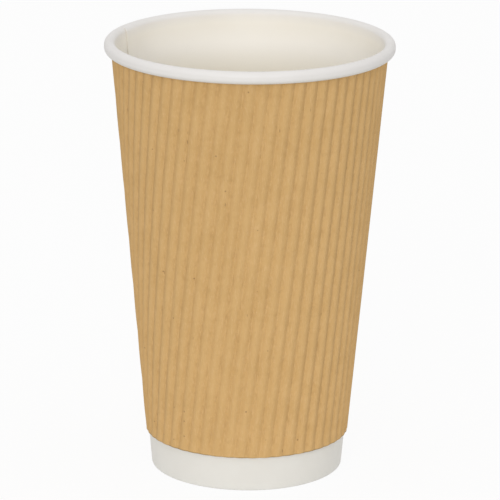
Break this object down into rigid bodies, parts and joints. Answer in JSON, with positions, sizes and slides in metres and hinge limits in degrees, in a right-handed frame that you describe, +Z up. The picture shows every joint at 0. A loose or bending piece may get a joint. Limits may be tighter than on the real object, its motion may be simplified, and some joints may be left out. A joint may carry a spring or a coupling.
{
  "type": "paper coffee cup with a ripple sleeve",
  "caption": "Tall takeaway paper cup: white coated wall with a rolled rim, folded foot and bottom disc, in a fluted kraft sleeve.",
  "frame": {"origin": "middle of the foot, on the table, on the cup's axis", "axes": "+Z up along the cup's axis, -Y towards the front in the picture, +X to its right"},
  "size_m": [0.09, 0.09, 0.1366],
  "materials": {
    "coated_board": "white board with a thin satin coating inside",
    "bottom_paper": "white paper with a thin satin coating",
    "kraft_paper": "uncoated brown kraft, matte, with fine fibres and specks"
  },
  "bodies": {
    "root": {"cup_wall": "coated_board", "cup_bottom": "bottom_paper", "ripple_sleeve": "kraft_paper"}
  },
  "joints": []
}
